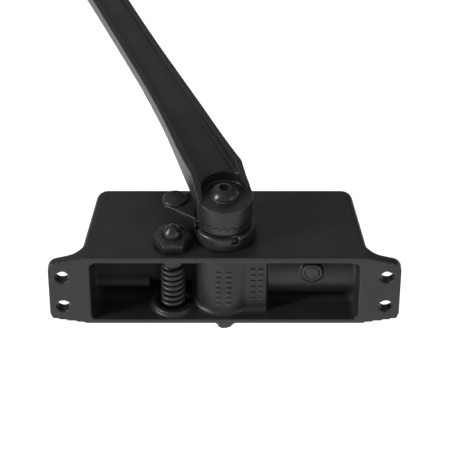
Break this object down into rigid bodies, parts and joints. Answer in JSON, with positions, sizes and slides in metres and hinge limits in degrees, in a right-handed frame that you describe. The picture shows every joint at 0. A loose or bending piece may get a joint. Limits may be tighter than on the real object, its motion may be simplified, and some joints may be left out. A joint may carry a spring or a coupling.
{
  "type": "surface door closer with hold-open",
  "caption": "Cast surface door closer seen from its mounting side, with a sprung hold-open plunger in a hexagon guide and a main arm keyed to its cam by face teeth.",
  "frame": {"origin": "centre of the four mounting holes, on the face that lies against the door", "axes": "+Y away from the door, +Z along the spindle towards the arm, +X along the body, to the right when the mounting side is seen with the spindle up"},
  "size_m": [0.176, 0.2158, 0.0834],
  "materials": {
    "cast_paint": "matt charcoal paint over a sand-cast surface",
    "arm_paint": "satin charcoal paint over a cast surface",
    "blackened_steel": "blackened, worn brighter on the edges",
    "spring_steel": "oiled round wire",
    "bright_steel": "turned",
    "piston_iron": "ground",
    "bush_bronze": "sintered, oiled",
    "valve_brass": "turned",
    "seal_rubber": "moulded"
  },
  "bodies": {
    "closer_body": {"body_casting": "cast_paint", "left_end_plug": "bright_steel", "right_end_plug": "bright_steel", "left_plug_o_ring": "seal_rubber", "right_plug_o_ring": "seal_rubber", "filler_plug": "cast_paint", "closing_valve_o_ring": "seal_rubber", "latching_valve_o_ring": "seal_rubber", "gallery_plug": "bright_steel", "main_spring": "spring_steel", "spring_washer": "spring_steel", "bearing_nut": "blackened_steel", "bearing_nut_o_ring": "seal_rubber", "upper_bush": "bush_bronze", "lower_bush": "bush_bronze", "shaft_seal": "seal_rubber", "plunger_guide_nut": "blackened_steel", "plunger_spring": "spring_steel"},
    "spindle_and_arm": {"pinion_shaft": "bright_steel", "thrust_washer": "blackened_steel", "hold_open_cam": "blackened_steel", "detent_button": "blackened_steel", "arm_hub": "arm_paint", "main_arm": "arm_paint", "arm_screw": "blackened_steel", "arm_lock_washer": "blackened_steel", "elbow_bush": "bush_bronze"},
    "piston_group": {"piston": "piston_iron", "check_ball_retainer": "bright_steel"},
    "check_valve": {"check_ball": "bright_steel"},
    "hold_open_plunger": {"plunger": "blackened_steel"},
    "closing_valve": {"closing_valve_screw": "valve_brass"},
    "latching_valve": {"latching_valve_screw": "valve_brass"}
  },
  "joints": [
    {"name": "spindle_turn", "type": "hinge", "parent": "closer_body", "child": "spindle_and_arm", "pos_m": [0, 0.0205, 0], "axis": [0, 0, 1], "range_deg": [-100, 46]},
    {"name": "piston_slide", "type": "slide", "parent": "closer_body", "child": "piston_group", "axis": [1, 0, 0], "range_m": [-0.0057, 0.0123], "deforming": ["main_spring"]},
    {"name": "check_ball_lift", "type": "slide", "parent": "piston_group", "child": "check_valve", "axis": [1, 0, 0], "range_m": [0, 0.0009]},
    {"name": "plunger_slide", "type": "slide", "parent": "closer_body", "child": "hold_open_plunger", "axis": [0, 0, 1], "range_m": [-0.005, 0], "stiffness_N_per_m": 18000, "springref_m": 0.003, "deforming": ["plunger_spring"]},
    {"name": "closing_valve_turn", "type": "hinge", "parent": "closer_body", "child": "closing_valve", "pos_m": [0.024, 0.052, 0], "axis": [0, 1, 0], "range_deg": [-180, 180]},
    {"name": "latching_valve_turn", "type": "hinge", "parent": "closer_body", "child": "latching_valve", "pos_m": [0.04, 0.052, 0], "axis": [0, 1, 0], "range_deg": [-180, 180]}
  ],
  "couplings": [
    {"joint": "piston_slide", "follows": "spindle_turn", "m_per_rad": -0.007}
  ]
}
